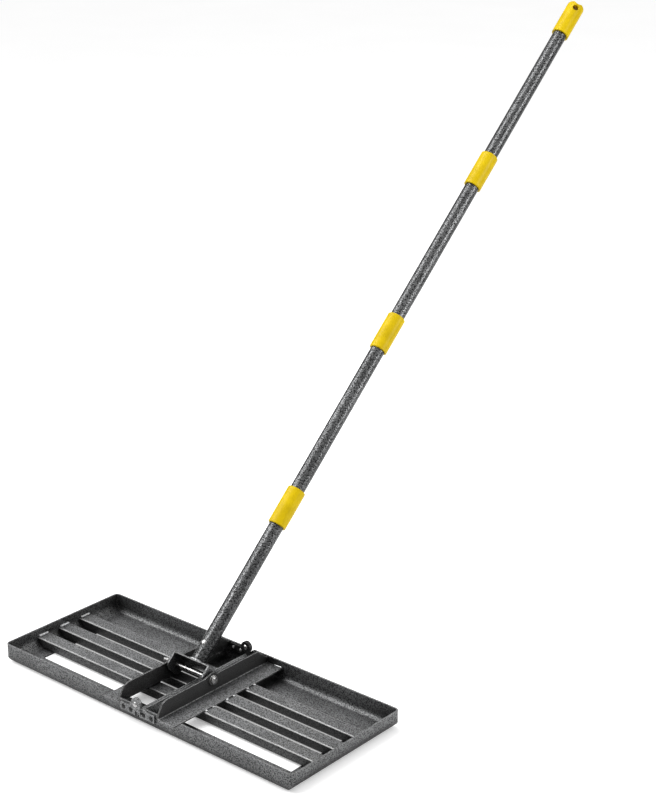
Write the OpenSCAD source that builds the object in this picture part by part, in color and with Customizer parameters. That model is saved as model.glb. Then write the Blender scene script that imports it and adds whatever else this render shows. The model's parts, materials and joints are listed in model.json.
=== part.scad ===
// Folding lawn-levelling rake: a slatted steel plate in two hinged halves,
// with a screw-together handle that tilts on one through bolt.
// X runs along the plate, Y from its front edge to its back edge, Z up.
// The origin is the middle of the sole, on the fold line.

/* [Plate] */
// Length of the open plate, along X
plate_l = 640; // [560:10:760]
// Width of the plate, along Y
plate_w = 254; // [246:2:280]
// Height of the rim above the ground
rim_h = 33; // [31:1:36]
// Thickness of the pressed sheet
sheet = 2.5; // [2:0.5:3]
// Outer bend radius under the front and back walls
side_r = 12; // [8:1:14]
// Outer bend radius under the end walls
end_r = 20; // [12:1:24]
// Radius of the outer corners seen from above
corner_r = 8; // [5:1:12]
// Gap between the two halves when the plate is open
fold_gap = 1.5; // [1:0.5:2]

/* [Slots and slats] */
// Width of the slotted area, along Y
slot_area_w = 163; // [155:1:165]
// Solid floor left at each end of the plate
end_strip = 41; // [30:1:60]
// Width of one slat
slat_w = 26; // [22:1:28]
// Height of one slat
slat_h = 17; // [17:0.5:18]
// Wall thickness of a slat
slat_wall = 2; // [1.5:0.5:2.5]
// Distance from one slat to the next
slat_pitch = 47.3; // [44:0.1:50]

/* [Brackets] */
// Outer face of a bracket wall, from the fold line
wall_x = 44.5; // [42.5:0.5:46]
// Steel thickness of a bracket
bracket_t = 2.5; // [2:0.5:3]
// Width of the flange that lies on the slats
flange_w = 33; // [28:1:38]
// Height of the bracket wall in front of the lug
wall_front_z = 49.5; // [46:0.5:50]
// Height of the bracket wall behind the lug
wall_back_z = 49.5; // [48:0.5:50]

/* [Handle] */
// Height of the pivot bolt above the ground
pivot_z = 42.5; // [42.5:0.5:44]
// Place of the pivot bolt along Y
pivot_y = -6; // [-8:1:0]
// Angle of the handle above the ground as it is stored
tilt = 42.5; // [30:0.5:60]
// Outside diameter of the handle tubes
tube_d = 25.4; // [24:0.2:28]
// Wall thickness of the handle tubes
tube_wall = 1.5; // [1.2:0.1:1.8]
// Distance from the pivot to the middle of the first collar
first_joint = 311.5; // [280:0.5:340]
// Distance from one collar to the next
section_l = 357; // [320:1:400]
// Length of a collar
collar_l = 70; // [60:1:80]
// Outside diameter of the collars and the end cap
collar_d = 32; // [30:0.5:34]
// Length of the end cap
cap_l = 72; // [70:1:85]
// Diameter of the hanging hole
hang_d = 11.2; // [6:0.2:11.6]
// Turn of the hanging hole about the handle
hang_turn = 40; // [0:5:175]

/* [Hidden] */
$fn = 64;
eps = 0.1;
over = 1;
far = 400;

coat = [0.36, 0.36, 0.37];
charcoal = [0.2, 0.2, 0.21];
black = [0.08, 0.08, 0.08];
zinc = [0.75, 0.75, 0.76];
yellow = [0.88, 0.77, 0.07];

// Plate
half_l = plate_l / 2;
half_w = plate_w / 2;
gap_x = fold_gap / 2;
inner_wall_t = 3;
inner_wall_h = 22;
slat_bottom = sheet;
slat_top = slat_bottom + slat_h;
slat_corner_r = 3;

// Fold hinges
hinge_z = rim_h + 3;
leaf_t = 3;
ear_r = 9.8;
ear_play = 0.3;
hinge_pin_r = 3;
pin_play = 0.05;
pin_head_r = 4.7;
pin_head_h = 2.6;
pin_tail_r = 4;
pin_tail_h = 1.4;
leaf_start_x = 4.8;
leaf_end_x = 37.5;
leaf_half_h = 6.5;
leaf_rise_x = [22, 12];
leaf_top = rim_h - 1;
leaf_clear_r = 11.5;
arm_end_x = 9.9;
arm_low_z = 20;
front_rivet_z = 20.5;
rear_rivet_z = 25;
rivet_x = [14.5, 31];
rivet_r = 2.4;
rivet_head_r = 4.4;
rivet_head_h = 2;
rivet_tail_r = 3;
rivet_tail_h = 1.5;
rivet_play = 0.05;
ear_notch_r = 13;
front_leaf_y = -half_w - leaf_t;
front_ear_y = front_leaf_y - leaf_t - ear_play;
front_wall_in = -half_w + sheet;
front_rim_drop = 3;
rear_leaf_y = half_w - sheet - leaf_t;
rear_ear_y = rear_leaf_y - leaf_t - ear_play;

// Brackets
flange_x = wall_x + flange_w;
bend_r = 4;
lug_r = 12;
lug_top = pivot_z + lug_r;
lug_flat = 3;
lug_drop = 0.8;
lug_run_front = 19;
lug_run_back = 11;
end_low_h = 9;
end_slope_front = [11, 21];
end_drop = 3.5;
end_slope_back = 20;
wall_end_y = half_w - 6;
wall_end_z = rim_h - 1;
notch_run = 16;
notch_play = 0.3;

// Pivot bolt
bolt_r = 4;
bolt_hole_r = 4.2;
bolt_head_af = 13;
bolt_head_h = 5.3;
bolt_chamfer = 1.2;
nut_h = 6.5;
thread_out = 11;
washer_r = 8;
washer_t = 1.6;
shank_half = wall_x - bracket_t - 1.5;
hex_r = bolt_head_af / sqrt(3);

// Yoke
yoke_half = wall_x - bracket_t - 2.5;
yoke_t = 3;
yoke_bend_r = 5;
yoke_top = 16;
yoke_half_w = 18.5;
yoke_low = 14;
yoke_low_r = 10;
yoke_high_r = 3;
pivot_play = 0.05;

// Handle tubes and joints
tube_r = tube_d / 2;
tube_bore_r = tube_r - tube_wall;
socket_l = 50;
socket_r = tube_bore_r - 0.05;
socket_wall = 2;
socket_rivet_u = 48;
rivet_sink = 0.5;
joint_u = [for (i = [0:2]) first_joint + i * section_l];
tube_play = 0.25;
insert_r = tube_bore_r - 0.05;
insert_l = 32;
stud_r = 8;
stud_l = 26;
stud_play = 0.05;
stud_room = 2;
collar_r = collar_d / 2;
collar_bore_r = tube_r + 0.05;
collar_chamfer = 1;
cap_start = first_joint + 3 * section_l - collar_l / 2;
cap_end = cap_start + cap_l;
cap_bore_l = 46;
cap_round = 7;
hang_u = cap_end - 15;
dip_r = 8;
dip_u = cap_end + 2;

// ---------- shared shapes ----------

// A box between two corners
module span(a, b) {
    translate(a) cube(b - a);
}

// A low dome standing on z = 0
module dome(r, h) {
    ball_r = (r * r + h * h) / (2 * h);
    intersection() {
        translate([0, 0, h - ball_r]) sphere(r = ball_r);
        cylinder(r = r + eps, h = h + eps);
    }
}

// Turns a shape drawn along Z so that it runs along X
module along_x() {
    rotate([0, 90, 0]) children();
}

// Turns a shape drawn along Z so that it runs along Y
module along_y() {
    rotate([-90, 0, 0]) children();
}

// Extrudes an outline drawn in X and Z along Y
module extrude_y(y0, y1) {
    translate([0, y1, 0]) rotate([90, 0, 0]) linear_extrude(y1 - y0) children();
}

// Extrudes an outline drawn in Y and Z along X
module extrude_x(x0, x1) {
    translate([x0, 0, 0]) rotate([90, 0, 90]) linear_extrude(x1 - x0) children();
}

// Mirrors a right-hand part to the left half
module left() {
    mirror([1, 0, 0]) children();
}

// ---------- tray ----------

// Cross-section of the tray across Y, with both bottom bends
module across(inset, top) {
    r = side_r - inset;
    w = half_w - inset;
    translate([-w, inset + r]) square([2 * w, top - inset - r]);
    translate([r - w, inset]) square([2 * (w - r), top - inset]);
    for (side = [-1, 1]) translate([side * (w - r), inset + r]) circle(r = r);
}

// Section of the tray along X, with the bend at the outer end
module lengthways(x0, inset, top) {
    r = end_r - inset;
    x1 = half_l - inset;
    translate([x0, inset + r]) square([x1 - x0, top - inset - r]);
    translate([x0, inset]) square([x1 - r - x0, top - inset]);
    translate([x1 - r, inset + r]) circle(r = r);
}

// Outline of one half seen from above
module plan(x0, inset) {
    r = corner_r - inset;
    x1 = half_l - inset;
    w = half_w - inset;
    translate([x0, -w]) square([x1 - r - x0, 2 * w]);
    translate([x0, r - w]) square([x1 - x0, 2 * (w - r)]);
    for (side = [-1, 1]) translate([x1 - r, side * (w - r)]) circle(r = r);
}

// One half as a solid block with the bends of the pressed sheet
module pressed(x0, inset, top) {
    intersection() {
        extrude_x(x0, half_l) across(inset, top);
        extrude_y(-half_w, half_w) lengthways(x0, inset, top);
        linear_extrude(top) plan(x0, inset);
    }
}

// The round notch in the front and back walls round the hinge pins and ears
module ear_notch() {
    translate([0, -half_w - 1, hinge_z]) along_y() cylinder(r = ear_notch_r, h = plate_w + 2);
}

// The place in the front rim where the bracket lies through it
module bracket_notch() {
    inner = wall_x - bracket_t - notch_play;
    outer = flange_x + notch_play;
    extrude_y(-far, -half_w + sheet + eps) polygon([[inner, slat_top], [outer, slat_top],
        [outer + notch_run, rim_h + eps], [inner, rim_h + eps]]);
}

// Bores for the rivets of the hinge leaves, front and back
module leaf_rivet_bores() {
    for (x = rivet_x) {
        translate([x, front_leaf_y - over, front_rivet_z])
            along_y() cylinder(r = rivet_r + rivet_play, h = half_w);
        translate([x, over, rear_rivet_z])
            along_y() cylinder(r = rivet_r + rivet_play, h = half_w);
    }
}

module tray() {
    difference() {
        pressed(gap_x, 0, rim_h);
        pressed(-1, sheet, rim_h + 1);
        span([-1, -slot_area_w / 2, -1], [half_l - end_strip, slot_area_w / 2, sheet + 1]);
        ear_notch();
        span([-over, -far, rim_h - front_rim_drop], [wall_x, front_wall_in + eps, far]);
        bracket_notch();
        leaf_rivet_bores();
    }
}

// ---------- slats and inner wall ----------

// A square with round corners, centred along its width
module round_bar(w, h, r) {
    translate([-w / 2, r]) square([w, h - 2 * r]);
    translate([r - w / 2, 0]) square([w - 2 * r, h]);
    for (x = [r - w / 2, w / 2 - r], y = [r, h - r]) translate([x, y]) circle(r = r);
}

module slat(y) {
    x0 = gap_x + inner_wall_t;
    intersection() {
        extrude_x(x0, half_l) translate([y, slat_bottom]) difference() {
            round_bar(slat_w, slat_h, slat_corner_r);
            translate([0, slat_wall])
                round_bar(slat_w - 2 * slat_wall, slat_h - 2 * slat_wall, slat_corner_r - slat_wall);
        }
        extrude_y(-half_w, half_w) lengthways(x0, sheet, rim_h);
    }
}

// The upright plate that closes each half at the fold line
module inner_wall() {
    extrude_x(gap_x, gap_x + inner_wall_t) across(sheet, inner_wall_h);
}

// ---------- brackets ----------

// Angle section: an upright wall and a flange, joined by a bend
module angle_section() {
    inner = wall_x - bracket_t;
    bend_x = inner + bend_r;
    bend_z = slat_top + bend_r;
    difference() {
        union() {
            translate([inner, bend_z]) square([flange_x - inner, lug_top - bend_z]);
            translate([bend_x, slat_top]) square([flange_x - bend_x, lug_top - slat_top]);
            translate([bend_x, bend_z]) circle(r = bend_r);
        }
        translate([wall_x, bend_z]) square([flange_w + 1, lug_top]);
        translate([bend_x, slat_top + bracket_t]) square([flange_w + 1, lug_top]);
        translate([bend_x, bend_z]) circle(r = bend_r - bracket_t);
    }
}

// Side view of the wall: sloped ends and a raised lug round the bolt
module wall_outline() {
    lug_step = lug_top - lug_drop;
    wall_y1 = half_w - sheet - ear_play;
    polygon([[-half_w, slat_top], [-half_w, slat_top + end_low_h],
        [end_slope_front[0] - half_w, wall_front_z - end_drop],
        [end_slope_front[1] - half_w, wall_front_z], [pivot_y - lug_run_front, wall_front_z],
        [pivot_y - lug_flat, lug_step], [pivot_y + lug_flat, lug_step],
        [pivot_y + lug_run_back, wall_back_z], [wall_end_y - end_slope_back, wall_back_z],
        [wall_end_y, wall_end_z], [wall_y1, wall_end_z], [wall_y1, slat_top]]);
}

module bracket() {
    difference() {
        union() {
            intersection() {
                extrude_y(-half_w, half_w) angle_section();
                extrude_x(wall_x - bracket_t - 1, flange_x + 1) wall_outline();
            }
            at_pivot(wall_x - bracket_t) cylinder(r = lug_r, h = bracket_t);
        }
        at_pivot(0) cylinder(r = bolt_hole_r, h = flange_x);
    }
}

// ---------- fold hinges ----------

// Outline of a leaf in X and Z: a riveted plate and a rise towards the ear
module leaf_plate(rivet_z) {
    low = rivet_z - leaf_half_h;
    high = rivet_z + leaf_half_h;
    difference() {
        polygon([[leaf_start_x, low], [leaf_end_x, low], [leaf_end_x, high],
            [leaf_rise_x[0], high], [leaf_rise_x[1], leaf_top], [leaf_start_x, leaf_top]]);
        translate([0, hinge_z]) circle(r = leaf_clear_r);
    }
}

// Outline of the ear and the arm that carries it
module leaf_ear() {
    translate([0, hinge_z]) circle(r = ear_r);
    polygon([[0, hinge_z - ear_r], [leaf_start_x, arm_low_z], [arm_end_x, arm_low_z],
        [arm_end_x, leaf_top], [ear_r - 1, hinge_z]]);
}

// A leaf with its plate at y_plate and its ear at y_ear, set off by one thickness or not at all
module leaf(y_plate, y_ear, rivet_z) {
    low = min(y_plate, y_ear);
    high = max(y_plate, y_ear) + leaf_t;
    difference() {
        union() {
            extrude_y(y_plate, y_plate + leaf_t) leaf_plate(rivet_z);
            extrude_y(y_ear, y_ear + leaf_t) leaf_ear();
            extrude_y(low, high) difference() {
                leaf_ear();
                translate([0, hinge_z]) circle(r = leaf_clear_r);
            }
        }
        hinge_bore(y_ear);
        leaf_rivet_bores();
    }
}

module front_leaf(y_ear) {
    leaf(front_leaf_y, y_ear, front_rivet_z);
}

module rear_leaf(y_ear) {
    leaf(rear_leaf_y, y_ear, rear_rivet_z);
}

// Bore for the hinge pin, through the ear that starts at y0
module hinge_bore(y0) {
    translate([0, y0 - 1, hinge_z])
        along_y() cylinder(r = hinge_pin_r + pin_play, h = leaf_t + 2);
}

// A headed pin through both ears, with a peened tail; y0 is the front ear face
module hinge_pin(y0) {
    length = 2 * leaf_t + ear_play;
    translate([0, y0, hinge_z]) along_y() {
        translate([0, 0, -ear_play]) cylinder(r = hinge_pin_r, h = length + 2 * ear_play);
        translate([0, 0, -ear_play]) mirror([0, 0, 1]) dome(pin_head_r, pin_head_h);
        translate([0, 0, length + ear_play]) dome(pin_tail_r, pin_tail_h);
    }
}

// Rivets through one wall and one leaf, with a broad head on the face at y_out
// and a small tail on the face at y_in
module leaf_rivets_at(y_out, y_in, z) {
    low = min(y_out, y_in);
    high = max(y_out, y_in);
    outwards = y_out < y_in ? 1 : 0;
    for (x = rivet_x) translate([x, 0, z]) {
        translate([0, low, 0]) along_y() cylinder(r = rivet_r, h = high - low);
        translate([0, y_out, 0]) along_y() mirror([0, 0, outwards]) dome(rivet_head_r, rivet_head_h);
        translate([0, y_in, 0]) along_y() mirror([0, 0, 1 - outwards]) dome(rivet_tail_r, rivet_tail_h);
    }
}

module leaf_rivets() {
    leaf_rivets_at(front_leaf_y, front_wall_in, front_rivet_z);
    leaf_rivets_at(half_w, rear_leaf_y, rear_rivet_z);
}

// ---------- pivot bolt ----------

module at_pivot(x) {
    translate([x, pivot_y, pivot_z]) along_x() children();
}

module washer(x) {
    at_pivot(x) difference() {
        cylinder(r = washer_r, h = washer_t);
        translate([0, 0, -1]) cylinder(r = bolt_hole_r, h = washer_t + 2);
    }
}

// Head of the pivot bolt, with the stretch that fills the right bracket
module bolt_head() {
    at_pivot(wall_x + washer_t) {
        cylinder(r = hex_r, h = bolt_head_h - bolt_chamfer, $fn = 6);
        translate([0, 0, bolt_head_h - bolt_chamfer]) cylinder(r1 = bolt_head_af / 2,
            r2 = bolt_head_af / 2 - bolt_chamfer, h = bolt_chamfer);
    }
    at_pivot(wall_x - bracket_t) cylinder(r = bolt_r, h = bracket_t + washer_t + 1);
}

// Nut on the left bracket, with the threaded end that fills that bracket
module nut() {
    at_pivot(-wall_x - washer_t - nut_h) difference() {
        cylinder(r = hex_r, h = nut_h, $fn = 6);
        translate([0, 0, -1]) cylinder(r = bolt_r, h = nut_h + 2);
    }
    at_pivot(-wall_x - washer_t - nut_h - thread_out)
        cylinder(r = bolt_r, h = thread_out + nut_h + washer_t + bracket_t);
}

module shank() {
    at_pivot(-shank_half) cylinder(r = bolt_r, h = 2 * shank_half);
}

// ---------- handle ----------

// Places a part drawn along the handle's own axis, from the pivot up
module on_handle() {
    translate([0, pivot_y, pivot_z]) rotate([tilt - 90, 0, 0]) children();
}

// U section of the yoke, in X and along the handle
module yoke_section() {
    r_in = yoke_bend_r - yoke_t;
    difference() {
        union() {
            translate([-yoke_half, -yoke_low]) square([2 * yoke_half, yoke_top + yoke_low - yoke_bend_r]);
            translate([yoke_bend_r - yoke_half, 0]) square([2 * (yoke_half - yoke_bend_r), yoke_top]);
            for (side = [-1, 1]) translate([side * (yoke_half - yoke_bend_r), yoke_top - yoke_bend_r])
                circle(r = yoke_bend_r);
        }
        translate([yoke_t - yoke_half, -yoke_low - 1])
            square([2 * (yoke_half - yoke_t), yoke_top + yoke_low + 1 - yoke_bend_r]);
        translate([yoke_bend_r - yoke_half, 0])
            square([2 * (yoke_half - yoke_bend_r), yoke_top - yoke_t]);
        for (side = [-1, 1]) translate([side * (yoke_half - yoke_bend_r), yoke_top - yoke_bend_r])
            circle(r = r_in);
    }
}

// Side view of a yoke ear, across and along the handle
module ear_outline() {
    w = yoke_half_w;
    low = -yoke_low;
    translate([-w, low + yoke_low_r]) square([2 * w, yoke_top - yoke_high_r - low - yoke_low_r]);
    translate([yoke_low_r - w, low]) square([2 * (w - yoke_low_r), yoke_top - low]);
    translate([yoke_high_r - w, yoke_low_r + low])
        square([2 * (w - yoke_high_r), yoke_top - low - yoke_low_r]);
    for (side = [-1, 1]) {
        translate([side * (w - yoke_low_r), low + yoke_low_r]) circle(r = yoke_low_r);
        translate([side * (w - yoke_high_r), yoke_top - yoke_high_r]) circle(r = yoke_high_r);
    }
}

module yoke() {
    on_handle() difference() {
        intersection() {
            extrude_y(-yoke_half_w, yoke_half_w) yoke_section();
            extrude_x(-yoke_half, yoke_half) ear_outline();
        }
        translate([-yoke_half - 1, 0, 0]) along_x()
            cylinder(r = bolt_r + pivot_play, h = 2 * yoke_half + 2);
    }
}

// A tube drawn between two distances from the pivot
module pipe(u0, u1, r_out, r_in) {
    translate([0, 0, u0]) difference() {
        cylinder(r = r_out, h = u1 - u0);
        translate([0, 0, -1]) cylinder(r = r_in, h = u1 - u0 + 2);
    }
}

// Bore for the rivet that holds the first tube on its socket
module socket_rivet_bore() {
    translate([0, -tube_r - 1, socket_rivet_u]) along_y()
        cylinder(r = rivet_r + rivet_play, h = tube_d + 2);
}

// Short tube welded on the yoke, inside the first tube
module tube_socket() {
    on_handle() difference() {
        pipe(yoke_top, yoke_top + socket_l, socket_r, socket_r - socket_wall);
        socket_rivet_bore();
    }
}

module socket_rivet() {
    seat = tube_r - rivet_sink;
    on_handle() translate([0, 0, socket_rivet_u]) along_y() {
        translate([0, 0, -seat]) cylinder(r = rivet_r, h = 2 * seat);
        for (side = [0, 1]) mirror([0, 0, side])
            translate([0, 0, seat]) dome(rivet_head_r, rivet_head_h);
    }
}

// First tube, from the yoke to the first joint, with flats under the rivet heads
module first_tube() {
    on_handle() difference() {
        pipe(yoke_top, joint_u[0] - tube_play, tube_r, tube_bore_r);
        socket_rivet_bore();
        for (side = [0, 1]) translate([0, 0, socket_rivet_u]) mirror([0, side, 0])
            translate([0, tube_r - rivet_sink, 0]) along_y() cylinder(r = rivet_head_r + 0.2, h = 2);
    }
}

module upper_tube(u0, u1) {
    on_handle() pipe(u0 + tube_play, u1 - tube_play, tube_r, tube_bore_r);
}

// Threaded socket in the top end of a tube
module thread_socket(i) {
    on_handle() translate([0, 0, joint_u[i] - tube_play - insert_l]) difference() {
        cylinder(r = insert_r, h = insert_l);
        translate([0, 0, insert_l - stud_l - stud_room])
            cylinder(r = stud_r + stud_play, h = stud_l + stud_room + over);
    }
}

// Threaded stud in the bottom end of the next tube
module thread_stud(i) {
    on_handle() {
        translate([0, 0, joint_u[i] + tube_play]) cylinder(r = insert_r, h = insert_l);
        translate([0, 0, joint_u[i] - stud_l]) cylinder(r = stud_r, h = stud_l + 1);
    }
}

// Sleeve with chamfered ends, over the joint between two tubes
module collar(i) {
    low = joint_u[i] - collar_l / 2;
    on_handle() rotate_extrude() polygon([[collar_bore_r, low],
        [collar_r - collar_chamfer, low], [collar_r, low + collar_chamfer],
        [collar_r, low + collar_l - collar_chamfer], [collar_r - collar_chamfer, low + collar_l],
        [collar_bore_r, low + collar_l]]);
}

// The cap's outside: a cylinder with a rounded end
module cap_body() {
    translate([0, 0, cap_start]) cylinder(r = collar_r, h = cap_l - cap_round);
    translate([0, 0, cap_end - cap_round]) {
        cylinder(r = collar_r - cap_round, h = cap_round);
        rotate_extrude() intersection() {
            translate([collar_r - cap_round, 0]) circle(r = cap_round);
            square([collar_r, cap_round]);
        }
    }
}

// Cap with a cross hole to hang the tool by, and a dip over the hole between two lobes
module end_cap() {
    on_handle() difference() {
        cap_body();
        translate([0, 0, cap_start - 1]) cylinder(r = collar_bore_r, h = cap_bore_l + 1);
        rotate([0, 0, hang_turn]) translate([0, -collar_r - 1, 0]) {
            translate([0, 0, hang_u]) along_y() cylinder(d = hang_d, h = collar_d + 2);
            translate([0, 0, dip_u]) along_y() cylinder(r = dip_r, h = collar_d + 2);
        }
    }
}

// ---------- nodes ----------

color(coat) left() tray();  // left_tray
color(coat) left() inner_wall();  // left_inner_wall
color(coat) left() slat(-slat_pitch);  // left_slat_front
color(coat) left() slat(0);  // left_slat_middle
color(coat) left() slat(slat_pitch);  // left_slat_back
color(charcoal) left() bracket();  // left_bracket
color(coat) left() front_leaf(front_leaf_y);  // front_leaf_left
color(black) left() rear_leaf(rear_leaf_y);  // rear_leaf_left
color(coat) left() leaf_rivets();  // left_leaf_rivets
color(zinc) hinge_pin(front_ear_y);  // front_hinge_pin
color(zinc) hinge_pin(rear_ear_y);  // rear_hinge_pin
color(zinc) nut();  // pivot_nut
color(zinc) washer(-wall_x - washer_t);  // nut_washer
color(coat) tray();  // right_tray
color(coat) inner_wall();  // right_inner_wall
color(coat) slat(-slat_pitch);  // right_slat_front
color(coat) slat(0);  // right_slat_middle
color(coat) slat(slat_pitch);  // right_slat_back
color(charcoal) bracket();  // right_bracket
color(coat) front_leaf(front_ear_y);  // front_leaf_right
color(black) rear_leaf(rear_ear_y);  // rear_leaf_right
color(coat) leaf_rivets();  // right_leaf_rivets
color(zinc) bolt_head();
color(zinc) washer(wall_x);  // head_washer
color(zinc) shank();  // bolt_shank
color(coat) yoke();
color(coat) tube_socket();
color(zinc) socket_rivet();
color(coat) first_tube();  // tube_1
color(coat) upper_tube(joint_u[0], joint_u[1]);  // tube_2
color(coat) upper_tube(joint_u[1], joint_u[2]);  // tube_3
color(coat) upper_tube(joint_u[2], cap_start + cap_bore_l);  // tube_4
color(zinc) thread_socket(0);  // thread_socket_1
color(zinc) thread_socket(1);  // thread_socket_2
color(zinc) thread_socket(2);  // thread_socket_3
color(zinc) thread_stud(0);  // thread_stud_1
color(zinc) thread_stud(1);  // thread_stud_2
color(zinc) thread_stud(2);  // thread_stud_3
color(yellow) collar(0);  // collar_1
color(yellow) collar(1);  // collar_2
color(yellow) collar(2);  // collar_3
color(yellow) end_cap();
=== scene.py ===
"""Looks of the folding lawn-levelling rake: materials, welds, threads, light and camera."""
import json
import math
import random

import bpy
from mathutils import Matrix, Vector


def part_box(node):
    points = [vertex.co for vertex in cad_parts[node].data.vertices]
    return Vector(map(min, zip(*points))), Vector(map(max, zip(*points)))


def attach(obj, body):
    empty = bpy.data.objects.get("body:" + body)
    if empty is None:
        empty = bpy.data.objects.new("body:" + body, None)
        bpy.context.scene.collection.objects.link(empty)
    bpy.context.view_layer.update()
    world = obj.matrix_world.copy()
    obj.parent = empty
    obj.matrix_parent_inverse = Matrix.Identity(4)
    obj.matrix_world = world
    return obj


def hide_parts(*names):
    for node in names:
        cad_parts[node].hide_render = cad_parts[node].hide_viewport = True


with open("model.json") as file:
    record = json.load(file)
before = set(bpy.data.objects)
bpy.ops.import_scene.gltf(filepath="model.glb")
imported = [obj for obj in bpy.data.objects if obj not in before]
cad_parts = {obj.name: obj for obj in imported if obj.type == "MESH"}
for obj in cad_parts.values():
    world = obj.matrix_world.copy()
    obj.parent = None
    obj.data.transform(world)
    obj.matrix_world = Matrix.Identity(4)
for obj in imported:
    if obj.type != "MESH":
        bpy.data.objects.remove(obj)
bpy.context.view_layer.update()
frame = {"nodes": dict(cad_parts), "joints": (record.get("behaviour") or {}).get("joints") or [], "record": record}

nodes = frame["nodes"]
joints = {joint["name"]: joint for joint in frame["joints"]}
MM = 0.001
SIDES = (("left", -1), ("right", 1))
SLATS = ("front", "middle", "back")

# ---------------------------------------------------------------- camera

AZIMUTH = 40.5
ELEVATION = 19.3
CAMERA_AT = (1.7935, -1.7706, 1.382)
LENS_MM = 78.6
SENSOR_MM = 36

camera_data = bpy.data.cameras.new("camera")
camera_data.lens = LENS_MM
camera_data.sensor_width = SENSOR_MM
camera = bpy.data.objects.new("camera", camera_data)
camera.location = CAMERA_AT
camera.rotation_euler = (math.radians(90 - ELEVATION), 0, math.radians(AZIMUTH))
bpy.context.scene.collection.objects.link(camera)
bpy.context.scene.camera = camera


# ---------------------------------------------------------------- shader helpers


def new_material(name):
    """An empty node material and its tree."""
    material = bpy.data.materials.new(name)
    material.use_nodes = True
    material.node_tree.nodes.clear()
    return material, material.node_tree


def feed(tree, socket, value):
    """Links value to an input if it is a socket, or else sets the input to it."""
    if isinstance(value, bpy.types.NodeSocket):
        tree.links.new(value, socket)
    else:
        socket.default_value = value


def add(tree, kind, settings=None, **inputs):
    """Adds a node. Settings are its properties, and inputs are values or sockets to link."""
    made = tree.nodes.new(kind)
    for key, value in (settings or {}).items():
        setattr(made, key, value)
    for key, value in inputs.items():
        feed(tree, made.inputs[key.replace("_", " ")], value)
    return made


def calc(tree, operation, a, b=0.0):
    """A Math node's output."""
    made = tree.nodes.new("ShaderNodeMath")
    made.operation = operation
    for socket, value in zip(made.inputs, (a, b)):
        feed(tree, socket, value)
    return made.outputs[0]


def ramp(tree, factor, low, high, out_low=0.0, out_high=1.0):
    """Maps factor from low..high to out_low..out_high, clamped and smooth."""
    made = add(tree, "ShaderNodeMapRange", {"interpolation_type": "SMOOTHSTEP"},
               Value=factor, From_Min=low, From_Max=high, To_Min=out_low, To_Max=out_high)
    return made.outputs[0]


def blend(tree, factor, a, b, how="MIX"):
    """A colour mix of a and b."""
    made = tree.nodes.new("ShaderNodeMix")
    made.data_type = "RGBA"
    made.blend_type = how
    for index, value in ((0, factor), (6, a), (7, b)):
        feed(tree, made.inputs[index], value)
    return made.outputs[2]


def grey(value, warm=0.0):
    """A neutral colour, a little warmer or cooler if asked."""
    return (value * (1 + warm), value, value * (1 - warm), 1)


def place(tree):
    """The position on the object, in metres."""
    return tree.nodes.new("ShaderNodeTexCoord").outputs["Object"]


def noise(tree, vector, size, detail=2.0, roughness=0.5):
    """Noise whose features are about size metres across."""
    return add(tree, "ShaderNodeTexNoise", Vector=vector, Scale=1 / size, Detail=detail,
               Roughness=roughness).outputs[0]


def edge_mask(tree, radius):
    """A mask, near 1 on sharp edges and 0 on flat and gently curved faces, and the rounded normal."""
    rounded = add(tree, "ShaderNodeBevel", {"samples": 6}, Radius=radius)
    geometry = tree.nodes.new("ShaderNodeNewGeometry")
    dot = add(tree, "ShaderNodeVectorMath", {"operation": "DOT_PRODUCT"})
    tree.links.new(rounded.outputs[0], dot.inputs[0])
    tree.links.new(geometry.outputs["True Normal"], dot.inputs[1])
    return ramp(tree, dot.outputs["Value"], 0.995, 0.86), rounded.outputs[0]


def paint_recess_shade(tree, colour, depth, floor):
    """Paints shade into a colour in recesses about depth metres across, down to floor times its value: painted
    shade from ambient occlusion.
    """
    made = add(tree, "ShaderNodeAmbientOcclusion", {"samples": 6}, Distance=depth)
    shade = ramp(tree, made.outputs["AO"], 0.30, 0.98, floor, 1.0)
    return blend(tree, 1.0, colour, shade, "MULTIPLY")


def finish_material(tree, shader):
    """Links the shader to the material's output."""
    out = tree.nodes.new("ShaderNodeOutputMaterial")
    tree.links.new(shader.outputs[0], out.inputs[0])


# ---------------------------------------------------------------- materials


# How far the painted shade in recesses reaches.
RECESS_SHADE_REACH = 60 * MM


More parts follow.
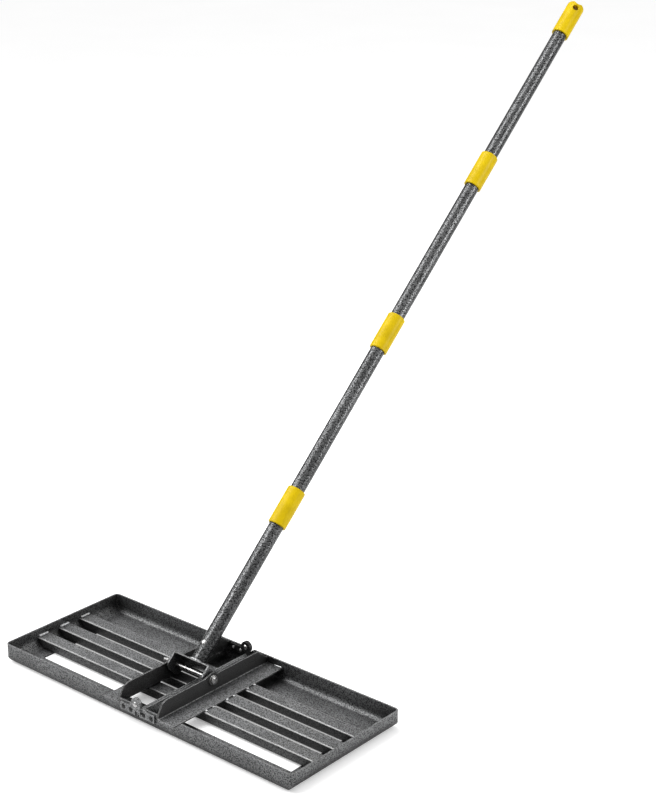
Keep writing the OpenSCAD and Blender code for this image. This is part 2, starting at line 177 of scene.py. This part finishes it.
def hammered_coat(name, dark, light, cell, roughness, edge_highlight, bump=0.35, metallic=0.35,
                  cover=(0.30, 0.78), smooth_above=None, recess_shade_level=0.14, lit_corners=False):
    """Silver-vein powder coat: fine pale flecks on a dark ground, dimpled, with the edges painted
    paler as a highlight that wear makes patchy.
    cell is a fleck's size, and cover is where the flecks start and where they are full.
    edge_highlight is the colour of the painted edge highlight. smooth_above is the height over which
    the coat turns plainer and darker, recess_shade_level is how dark the painted shade in recesses
    gets (1 paints none), and lit_corners paints a highlight on the round corners along a bar."""
    material, tree = new_material(name)
    where = place(tree)
    wander = add(tree, "ShaderNodeTexNoise", Vector=where, Scale=0.5 / cell, Detail=1.0)
    shift = add(tree, "ShaderNodeVectorMath", {"operation": "SCALE"}, Scale=cell * 1.1)
    tree.links.new(wander.outputs["Color"], shift.inputs[0])
    warped = add(tree, "ShaderNodeVectorMath", {"operation": "ADD"})
    tree.links.new(where, warped.inputs[0])
    tree.links.new(shift.outputs[0], warped.inputs[1])
    cells = add(tree, "ShaderNodeTexVoronoi", {"feature": "SMOOTH_F1"}, Vector=warped.outputs[0],
                Scale=1 / cell, Smoothness=0.35, Randomness=1.0).outputs["Distance"]
    fleck = noise(tree, where, cell * 0.45, 2.0, 0.6)
    vein = calc(tree, "ADD", calc(tree, "MULTIPLY", cells, 0.75), calc(tree, "MULTIPLY", fleck, 0.55))
    amount = ramp(tree, vein, cover[0], cover[1])
    patches = ramp(tree, noise(tree, where, 55 * MM, 3.0), 0.3, 0.7, 0.86, 1.10)
    colour = blend(tree, amount, grey(dark, -0.012), grey(light, -0.012))
    colour = blend(tree, 1.0, colour, patches, "MULTIPLY")
    rough = ramp(tree, noise(tree, where, cell * 2.2), 0.3, 0.7, roughness - 0.07, roughness + 0.08)
    height = calc(tree, "ADD", cells, calc(tree, "MULTIPLY", fleck, 0.3))
    if smooth_above is not None:
        z = add(tree, "ShaderNodeSeparateXYZ", Vector=where).outputs["Z"]
        plain = ramp(tree, z, smooth_above[0], smooth_above[1])
        fine = blend(tree, ramp(tree, fleck, 0.35, 0.65), grey(0.022), grey(0.13))
        colour = blend(tree, plain, colour, fine)
        height = calc(tree, "MULTIPLY", height, ramp(tree, z, smooth_above[0], smooth_above[1], 1.0, 0.35))
    edges, rounded = edge_mask(tree, 0.9 * MM)
    # wear_and_edge_highlight makes the painted edge highlight patchy, as wear would.
    wear_and_edge_highlight = ramp(tree, noise(tree, where, 12 * MM, 3.0, 0.6), 0.25, 0.6, 0.35, 1.0)
    # Painted shade: the colour darkens in recesses, where the surroundings shade it.
    if recess_shade_level < 1:
        colour = paint_recess_shade(tree, colour, RECESS_SHADE_REACH, recess_shade_level)
    # Painted highlight: the round corners along a bar are painted paler, as if catching the light.
    if lit_corners:
        facing = tree.nodes.new("ShaderNodeTexCoord").outputs["Normal"]
        tilt = add(tree, "ShaderNodeSeparateXYZ", Vector=facing).outputs["Z"]
        corner_highlight_band = calc(tree, "MULTIPLY", ramp(tree, tilt, 0.30, 0.55), ramp(tree, tilt, 0.97, 0.80))
        colour = blend(tree, calc(tree, "MULTIPLY", corner_highlight_band, 0.8), colour, grey(0.36))
    # Painted highlight: the edges are painted paler, patchy with wear.
    colour = blend(tree, calc(tree, "MULTIPLY", edges, wear_and_edge_highlight), colour, grey(edge_highlight))
    bumped = add(tree, "ShaderNodeBump", Strength=bump, Distance=0.35 * MM, Height=height, Normal=rounded)
    shader = add(tree, "ShaderNodeBsdfPrincipled", Base_Color=colour, Roughness=rough, Metallic=metallic,
                 Normal=bumped.outputs[0])
    shader.inputs["Coat Weight"].default_value = 0.15
    shader.inputs["Coat Roughness"].default_value = 0.25
    finish_material(tree, shader)
    return material


def gloss_black(name):
    """Smooth black powder coat with fine orange peel, light scuffs, and edges painted paler as a highlight."""
    material, tree = new_material(name)
    where = place(tree)
    peel = noise(tree, where, 1.6 * MM, 2.0)
    scuff = ramp(tree, noise(tree, where, 6 * MM, 4.0, 0.65), 0.45, 0.75)
    edges, rounded = edge_mask(tree, 0.7 * MM)
    colour = blend(tree, scuff, grey(0.010), grey(0.022))
    # Painted highlight: the edges are painted paler.
    colour = blend(tree, edges, colour, grey(0.13))
    bumped = add(tree, "ShaderNodeBump", Strength=0.25, Distance=0.2 * MM, Height=peel, Normal=rounded)
    shader = add(tree, "ShaderNodeBsdfPrincipled", Base_Color=colour, Normal=bumped.outputs[0],
                 Roughness=ramp(tree, scuff, 0, 1, 0.28, 0.42))
    finish_material(tree, shader)
    return material


def zinc(name, shade=0.62):
    """Bright zinc plate: pale metal with faint cloudy patches, fine turning marks and edges painted paler as a
    highlight.
    """
    material, tree = new_material(name)
    where = place(tree)
    cloud = noise(tree, where, 4 * MM, 3.0, 0.6)
    marks = noise(tree, where, 0.35 * MM, 2.0)
    edges, rounded = edge_mask(tree, 0.4 * MM)
    colour = blend(tree, ramp(tree, cloud, 0.3, 0.7), grey(shade * 0.62, -0.01), grey(shade, 0.02))
    # Painted highlight: the edges are painted paler.
    colour = blend(tree, calc(tree, "MULTIPLY", edges, 0.6), colour, grey(0.85))
    bumped = add(tree, "ShaderNodeBump", Strength=0.2, Distance=0.05 * MM, Height=marks, Normal=rounded)
    shader = add(tree, "ShaderNodeBsdfPrincipled", Base_Color=colour, Metallic=1.0, Normal=bumped.outputs[0],
                 Roughness=ramp(tree, cloud, 0.3, 0.7, 0.24, 0.4))
    finish_material(tree, shader)
    return material


def yellow_plastic(name):
    """Moulded yellow plastic: soft colour drift, light scuffs, and edges painted paler as a highlight."""
    material, tree = new_material(name)
    where = place(tree)
    drift = noise(tree, where, 30 * MM, 3.0, 0.55)
    scuff = ramp(tree, noise(tree, where, 3.5 * MM, 4.0, 0.7), 0.55, 0.8)
    grain = noise(tree, where, 0.5 * MM, 2.0)
    edges, rounded = edge_mask(tree, 0.8 * MM)
    colour = blend(tree, ramp(tree, drift, 0.3, 0.7), (0.55, 0.395, 0.0004, 1), (0.66, 0.48, 0.0007, 1))
    colour = blend(tree, calc(tree, "MULTIPLY", scuff, 0.35), colour, (0.44, 0.29, 0.002, 1))
    # Painted highlight: the edges are painted paler.
    colour = blend(tree, calc(tree, "MULTIPLY", edges, 0.6), colour, (0.70, 0.56, 0.02, 1))
    bumped = add(tree, "ShaderNodeBump", Strength=0.15, Distance=0.06 * MM, Height=grain, Normal=rounded)
    shader = add(tree, "ShaderNodeBsdfPrincipled", Base_Color=colour, Normal=bumped.outputs[0],
                 Roughness=ramp(tree, scuff, 0, 1, 0.36, 0.5), Specular_IOR_Level=0.22)
    finish_material(tree, shader)
    return material


def riveted_coat(name):
    """Rivet heads: glossy dark paint on the outer ones in front, pale on the ones inside, with painted shade
    darkening the rims of all.
    """
    material, tree = new_material(name)
    where = place(tree)
    y = add(tree, "ShaderNodeSeparateXYZ", Vector=where).outputs["Y"]
    fleck = ramp(tree, noise(tree, where, 1.1 * MM, 3.0, 0.6), 0.35, 0.7)
    edges, rounded = edge_mask(tree, 0.5 * MM)
    front = blend(tree, fleck, grey(0.012), grey(0.07))
    back = blend(tree, fleck, grey(0.20), grey(0.60))
    colour = blend(tree, ramp(tree, y, -0.05, 0.05), front, back)
    # Painted shade: the rims of the heads are painted darker.
    colour = blend(tree, calc(tree, "MULTIPLY", edges, 0.3), colour, grey(0.02))
    bumped = add(tree, "ShaderNodeBump", Strength=0.4, Distance=0.15 * MM, Height=fleck, Normal=rounded)
    shader = add(tree, "ShaderNodeBsdfPrincipled", Base_Color=colour, Metallic=0.3, Normal=bumped.outputs[0],
                 Roughness=ramp(tree, fleck, 0, 1, 0.26, 0.40))
    finish_material(tree, shader)
    return material


PLATE_LOOK = {"dark": 0.014, "light": 0.24, "cell": 2.2 * MM, "roughness": 0.42, "edge_highlight": 0.38,
              "bump": 0.7, "cover": (0.42, 0.76)}
plate_coat = hammered_coat("plate_coat", **PLATE_LOOK)
# The slats' copy of the plate coat adds the painted corner highlight.
slat_coat_corner_highlight = hammered_coat("slat_coat_corner_highlight", **PLATE_LOOK, lit_corners=True)
# Painted light: a paler copy of the plate coat for the fold walls and front leaves, with no painted recess shade
# and a stronger painted edge highlight.
fold_coat_painted_light = hammered_coat("fold_coat_painted_light", dark=0.03, light=0.26, cell=2.0 * MM, roughness=0.42,
                          edge_highlight=0.45, cover=(0.42, 0.76), recess_shade_level=1)
tube_coat = hammered_coat("tube_coat", dark=0.004, light=0.15, cell=2.5 * MM, roughness=0.30,
                          edge_highlight=0.10, bump=0.8, metallic=0.75, cover=(0.44, 0.74), recess_shade_level=0.5)
bracket_coat = hammered_coat("bracket_coat", dark=0.012, light=0.26, cell=2.1 * MM, roughness=0.40,
                             edge_highlight=0.55, bump=0.7, cover=(0.40, 0.78),
                             smooth_above=(22.4 * MM, 24.5 * MM), recess_shade_level=0.3)
# Painted highlight: the beads carry the plate's coat, painted far paler so their ripples show as bright specks.
weld_coat_painted_highlight = hammered_coat("weld_coat_painted_highlight", dark=0.16, light=0.75, cell=1.3 * MM, roughness=0.30,
                          edge_highlight=0.7, metallic=0.4, recess_shade_level=1)
rivet_coat = riveted_coat("rivet_coat")
leaf_coat = gloss_black("leaf_coat")
bright_zinc = zinc("bright_zinc")
rivet_zinc = zinc("rivet_zinc", 0.78)
yellow = yellow_plastic("yellow_plastic")

SLOT_MATERIAL = {
    "hammered_coat": plate_coat,
    "charcoal_coat": bracket_coat,
    "black_coat": leaf_coat,
    "zinc_steel": bright_zinc,
    "yellow_plastic": yellow,
}


def material_for(name, slot):
    """The material of a CAD node: that of its slot, or a closer one for some nodes."""
    if name == "socket_rivet":
        return rivet_zinc
    if name.endswith("leaf_rivets"):
        return rivet_coat
    # The fold walls and front leaves take the paler copy, painted with light.
    if name.endswith("inner_wall") or name.startswith("front_leaf"):
        return fold_coat_painted_light
    # The slats take the coat with the painted corner highlight.
    if "_slat_" in name:
        return slat_coat_corner_highlight
    if name.startswith("tube_") and name != "tube_socket":
        return tube_coat
    return SLOT_MATERIAL[slot]


for part in frame["record"]["subparts"]:
    name = part["node"]
    nodes[name].data.materials.clear()
    nodes[name].data.materials.append(material_for(name, part["material_slot"]))


# ---------------------------------------------------------------- mesh helpers


def new_piece(name, points, faces, material, body, slot, sharp=35):
    """A mesh piece that moves with a CAD body."""
    mesh = bpy.data.meshes.new(name)
    mesh.from_pydata([tuple(p) for p in points], [], faces)
    mesh.validate()
    mesh.materials.append(material)
    mesh.shade_smooth()
    mesh.set_sharp_from_angle(angle=math.radians(sharp))
    piece = bpy.data.objects.new(name, mesh)
    bpy.context.scene.collection.objects.link(piece)
    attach(piece, body)
    return piece


def grid_faces(rings, sides):
    """Quads between neighbouring rings of points, each ring closed on itself."""
    faces = []
    for ring in range(rings - 1):
        for k in range(sides):
            a = ring * sides + k
            b = ring * sides + (k + 1) % sides
            faces.append((a, b, b + sides, a + sides))
    return faces


def joined(*parts):
    """Several lots of vertices and faces as one."""
    vertices, faces = [], []
    for part_vertices, part_faces in parts:
        faces += [tuple(i + len(vertices) for i in face) for face in part_faces]
        vertices += part_vertices
    return vertices, faces


BEAD_SIDES = 10
BEAD_STEP = 0.30
RIPPLE_STEPS = 5
BEAD_FLATNESS = 0.8


def bead_path(points, radius, closed):
    """Evenly stepped points along the legs between the given points."""
    ends = points[1:] + points[:1] if closed else points[1:]
    path = []
    for a, b in zip(points, ends):
        count = max(2, round((b - a).length / (radius * BEAD_STEP)))
        path += [a.lerp(b, i / count) for i in range(count)]
    if not closed:
        path.append(points[-1])
    return path


def bead(points, radius, up, rng, closed=False):
    """Vertices and faces of one weld bead: overlapping ripples along a path of points."""
    path = bead_path(points, radius, closed)
    total = len(path)
    vertices = []
    for i, p in enumerate(path):
        before = path[i - 1] if closed or i else p
        after = path[(i + 1) % total] if closed or i + 1 < total else p
        tangent = (after - before).normalized()
        side = tangent.cross(up).normalized()
        if i % RIPPLE_STEPS == 0:
            size = rng.uniform(0.88, 1.12)
        ripple = 0.80 + 0.20 * abs(math.sin(math.pi * i / RIPPLE_STEPS))
        r = radius * size * ripple
        if not closed:
            near_end = min(i, total - 1 - i)
            r *= min(1.0, 0.35 + 0.3 * near_end)
        for k in range(BEAD_SIDES):
            angle = 2 * math.pi * k / BEAD_SIDES
            low_r = r * BEAD_FLATNESS
            vertices.append(p + side * (r * math.cos(angle)) + up * (low_r * math.sin(angle)))
    faces = grid_faces(total, BEAD_SIDES)
    last = (total - 1) * BEAD_SIDES
    if closed:
        for k in range(BEAD_SIDES):
            after_k = (k + 1) % BEAD_SIDES
            faces.append((last + k, last + after_k, after_k, k))
    else:
        faces.append(tuple(reversed(range(BEAD_SIDES))))
        faces.append(tuple(range(last, last + BEAD_SIDES)))
    return vertices, faces


def weld_piece(name, beads, body, seed):
    """One piece made of several beads, each a path, a radius, an up direction and closed or not."""
    rng = random.Random(seed)
    mesh = joined(*[bead(points, radius, up, rng, closed) for points, radius, up, closed in beads])
    return new_piece(name, *mesh, weld_coat_painted_highlight, body, "hammered_coat", sharp=70)


def around(at, axis, across, along, angle, radius):
    """A point round an axis: its distance along it, its angle from across and its radius."""
    third = axis.cross(across)
    return at + axis * along + (across * math.cos(angle) + third * math.sin(angle)) * radius


def turned(profile, at, axis, across, sides=48, limit=None):
    """Vertices and faces of a shape turned about axis. The profile is (along, radius) pairs.
    limit(angle) is a greatest radius, for a shape with flats."""
    vertices = []
    for along, radius in profile:
        for k in range(sides):
            angle = 2 * math.pi * k / sides
            r = radius if limit is None else min(radius, limit(angle))
            vertices.append(around(at, axis, across, along, angle, r))
    return vertices, grid_faces(len(profile), sides)


def hexagon(flats):
    """The radius of a hexagon of that width across its flats, by angle."""
    return lambda angle: flats / 2 / math.cos((angle % (math.pi / 3)) - math.pi / 6)


THREAD_SIDES = 32
ROWS_PER_TURN = 8
THREAD_DEPTH = 0.55
TIP_SIZE = 0.72
TAPER_TURNS = 1.4


def thread(at, axis, across, radius, length, pitch):
    """A screw thread with a tapered start and a flat tip."""
    rows = round(length / pitch * ROWS_PER_TURN) + 1
    vertices = []
    for row in range(rows):
        along = length * row / (rows - 1)
        taper = min(1.0, TIP_SIZE + (length - along) / (pitch * TAPER_TURNS) * (1 - TIP_SIZE))
        for k in range(THREAD_SIDES):
            turn = (along / pitch - k / THREAD_SIDES) % 1
            cut = pitch * THREAD_DEPTH * (1 - abs(2 * turn - 1))
            angle = 2 * math.pi * k / THREAD_SIDES
            vertices.append(around(at, axis, across, along, angle, (radius - cut) * taper))
    faces = grid_faces(rows, THREAD_SIDES)
    faces.append(tuple(range((rows - 1) * THREAD_SIDES, rows * THREAD_SIDES)))
    return vertices, faces


# ---------------------------------------------------------------- welds on the plate

UP = Vector((0, 0, 1))
BEAD_R = 1.9 * MM
SLAT_INSET = 2.5 * MM
WALL_STITCH = 6 * MM
FLANGE_STITCH = 5 * MM
BACK_BEAD = (2 * MM, 18 * MM)


def outer_x(low, high):
    """How far from the fold line a box reaches."""
    return max(abs(low.x), abs(high.x))


def run_back(x, start, end, z, radius):
    """A bead along Y from start to end."""
    return [Vector((x, start, z)), Vector((x, end, z))], radius, UP, False


def plate_beads(side, sign):
    """The beads of one half: at the slats' ends, wall and flange, and behind the flange."""
    beads = []
    bracket_low, bracket_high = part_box(f"{side}_bracket")
    wall_low, wall_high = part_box(f"{side}_inner_wall")
    flange_x = outer_x(bracket_low, bracket_high)
    wall_x = outer_x(wall_low, wall_high)
    for slat in SLATS:
        low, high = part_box(f"{side}_slat_{slat}")
        near, far = low.y + SLAT_INSET, high.y - SLAT_INSET
        top = high.z
        end_x = sign * (outer_x(low, high) - 1.4 * MM)
        beads.append(run_back(end_x, near, far, top + 1.0 * MM, BEAD_R * 1.35))
        stitch_x = sign * (wall_x + 1.0 * MM)
        for start in (near - 1 * MM, far - WALL_STITCH):
            beads.append(run_back(stitch_x, start, start + WALL_STITCH, top + 0.4 * MM, BEAD_R * 0.9))
        stitch_x = sign * (flange_x + 0.6 * MM)
        for start in (near, far - FLANGE_STITCH):
            beads.append(run_back(stitch_x, start, start + FLANGE_STITCH, top + 0.5 * MM, BEAD_R * 0.95))
    flange_top = bracket_low.z + 2.5 * MM
    near_end, far_end = BACK_BEAD
    back_y = bracket_high.y
    back_path = [Vector((sign * (flange_x - end), back_y, flange_top)) for end in (far_end, near_end)]
    beads.append((back_path, BEAD_R * 0.8, UP, False))
    return beads


for side, sign in SIDES:
    weld_piece(f"{side}_plate_welds", plate_beads(side, sign), f"{side}_half", seed=7 + sign)

# ---------------------------------------------------------------- weld at the foot of the handle

ACROSS = Vector((1, 0, 0))
YOKE_TOP = 16 * MM
FOOT_R = 13.2 * MM
FOOT_BEAD_R = 2.1 * MM
FOOT_POINTS = 40

pivot = Vector(joints["handle_tilt"]["pos_m"])
cap_low, cap_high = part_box("end_cap")
tube_axis = (cap_low + cap_high) / 2 - pivot
tube_axis.x = 0
tube_axis.normalize()
back_of = tube_axis.cross(ACROSS)
foot = pivot + tube_axis * (YOKE_TOP + 0.5 * MM)
circle = [foot + ACROSS * (FOOT_R * math.cos(a)) + back_of * (FOOT_R * math.sin(a))
          for a in (2 * math.pi * k / FOOT_POINTS for k in range(FOOT_POINTS))]
weld_piece("yoke_weld", [(circle, FOOT_BEAD_R, tube_axis, True)], "handle", seed=3)

# ---------------------------------------------------------------- nut, thread and bolt head

FLATS = 13 * MM
CHAMFER = 1.1 * MM
CHAMFER_STEPS = 5
HEX_SIDES = 60
NUT_H = 6.5 * MM
DOME = 0.9 * MM
THREAD_R = 4 * MM
PITCH = 1.25 * MM
POINT_R = 0.01 * MM
BACK = Vector((0, 1, 0))


def hex_profile(height, hole_r, domed=0.0):
    """Profile of a hexagon head or nut with both rims chamfered."""
    corner_r = FLATS / math.sqrt(3) + 0.01 * MM
    face_r = FLATS / 2 * 0.95
    chamfer = [(CHAMFER * k / CHAMFER_STEPS, face_r + (corner_r - face_r) * k / CHAMFER_STEPS)
               for k in range(1, CHAMFER_STEPS + 1)]
    steps = [(0, hole_r), (0, face_r)] + chamfer
    steps += [(height - along, radius) for along, radius in reversed(chamfer)]
    steps += [(height, face_r), (height + domed * 0.6, face_r * 0.8), (height + domed, hole_r)]
    return steps


def shank_stub(at, axis, length):
    """The plain stretch of the bolt under a nut or head, with a closed end."""
    return turned([(0, THREAD_R), (length, THREAD_R), (length, POINT_R)], at, axis, BACK)


bolt_axis = Vector((0, pivot.y, pivot.z))
nut_low, nut_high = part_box("pivot_nut")
nut_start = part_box("nut_washer")[0].x
nut_at = bolt_axis + ACROSS * nut_start
nut_mesh = joined(
    turned(hex_profile(NUT_H, THREAD_R - 0.3 * MM), nut_at, -ACROSS, BACK, HEX_SIDES, hexagon(FLATS)),
    thread(nut_at, -ACROSS, BACK, THREAD_R, nut_start - nut_low.x, PITCH),
    shank_stub(nut_at, ACROSS, nut_high.x - nut_start),
)
nut = new_piece("nut_and_thread", *nut_mesh, bright_zinc, "left_half", "zinc_steel")
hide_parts("pivot_nut")

head_low, head_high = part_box("bolt_head")
head_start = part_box("head_washer")[1].x
head_at = bolt_axis + ACROSS * head_start
head_h = head_high.x - head_start
head_mesh = joined(
    turned(hex_profile(head_h - DOME, 0.2 * MM, DOME), head_at, ACROSS, BACK, HEX_SIDES, hexagon(FLATS)),
    shank_stub(head_at, -ACROSS, head_start - head_low.x),
)
head = new_piece("hex_head", *head_mesh, bright_zinc, "right_half", "zinc_steel")
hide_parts("bolt_head")

# ---------------------------------------------------------------- rivet at the foot of the tube

RIVET_R = 2.4 * MM
RIVET_HEAD_R = 4.4 * MM
RIVET_HEAD_H = 2.0 * MM
RIVET_TIP = 14.2 * MM
RIVET_SIDES = 40

rivet_low, rivet_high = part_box("socket_rivet")
half_profile = [(RIVET_TIP - 1.2 * MM, 0.02 * MM), (RIVET_TIP - 1.1 * MM, 0.9 * MM),
                (RIVET_TIP - 0.1 * MM, 1.2 * MM), (RIVET_TIP, 1.7 * MM),
                (RIVET_TIP - 0.35 * MM, 2.8 * MM), (RIVET_TIP - 0.95 * MM, 3.7 * MM),
                (RIVET_TIP - RIVET_HEAD_H + 0.1 * MM, RIVET_HEAD_R),
                (RIVET_TIP - RIVET_HEAD_H, RIVET_HEAD_R), (RIVET_TIP - RIVET_HEAD_H, RIVET_R)]
rivet_profile = [(-along, radius) for along, radius in half_profile] + half_profile[::-1]
rivet_mesh = turned(rivet_profile, (rivet_low + rivet_high) / 2, back_of, ACROSS, RIVET_SIDES)
rivet = new_piece("blind_rivet", *rivet_mesh, rivet_zinc, "handle", "zinc_steel")
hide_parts("socket_rivet")

# ---------------------------------------------------------------- studio

FLOOR_HALF = 40
FLOOR_Z = -0.2 * MM
PAPER_GLOW = 0.27

floor_mesh = bpy.data.meshes.new("floor")
floor_mesh.from_pydata([(x * FLOOR_HALF, y * FLOOR_HALF, FLOOR_Z)
                        for x, y in ((-1, -1), (1, -1), (1, 1), (-1, 1))], [], [(0, 1, 2, 3)])
floor = bpy.data.objects.new("floor", floor_mesh)
bpy.context.scene.collection.objects.link(floor)
floor_material, tree = new_material("floor_paper")
paper = ramp(tree, noise(tree, place(tree), 0.4, 2.0), 0.2, 0.8, 0.86, 0.88)
for_camera = tree.nodes.new("ShaderNodeLightPath").outputs["Is Camera Ray"]
glow = calc(tree, "MULTIPLY", for_camera, PAPER_GLOW)
finish_material(tree, add(tree, "ShaderNodeBsdfPrincipled", Base_Color=paper, Roughness=0.9,
                          Specular_IOR_Level=0.1, Emission_Color=(1, 1, 1, 1), Emission_Strength=glow))
floor_mesh.materials.append(floor_material)

world = bpy.data.worlds.new("studio")
world.use_nodes = True
bpy.context.scene.world = world
tree = world.node_tree
tree.nodes.clear()
direction = tree.nodes.new("ShaderNodeTexCoord").outputs["Generated"]
height = add(tree, "ShaderNodeSeparateXYZ", Vector=direction).outputs["Z"]
dome = ramp(tree, height, 0.05, 0.95, 0.06, 0.85)
for_camera = tree.nodes.new("ShaderNodeLightPath").outputs["Is Camera Ray"]
lit = calc(tree, "MULTIPLY", dome, calc(tree, "SUBTRACT", 1.0, for_camera))
strength = calc(tree, "ADD", lit, for_camera)
background = add(tree, "ShaderNodeBackground", Color=(1, 1, 1, 1), Strength=strength)
out = tree.nodes.new("ShaderNodeOutputWorld")
tree.links.new(background.outputs[0], out.inputs[0])


def softbox(name, at, towards, size, power):
    """A rectangular area light that points at a place."""
    data = bpy.data.lights.new(name, "AREA")
    data.shape = "RECTANGLE"
    data.size, data.size_y = size
    data.energy = power
    light = bpy.data.objects.new(name, data)
    light.location = at
    light.rotation_euler = (Vector(towards) - Vector(at)).to_track_quat("-Z", "Y").to_euler()
    bpy.context.scene.collection.objects.link(light)


MIDDLE = (0, 0.25, 0.3)
softbox("key_left", (-1.6, -2.2, 3.0), MIDDLE, (1.6, 2.2), 62)
softbox("strip_left", (-1.7, 0.1, 3.1), (0, 0.8, 0.7), (0.7, 4.0), 52)
softbox("rim_right", (2.8, 1.6, 1.5), MIDDLE, (0.8, 2.2), 40)

scene = bpy.context.scene
scene.view_settings.view_transform = "Standard"
scene.view_settings.look = "Medium High Contrast"
scene.view_settings.exposure = 0.0
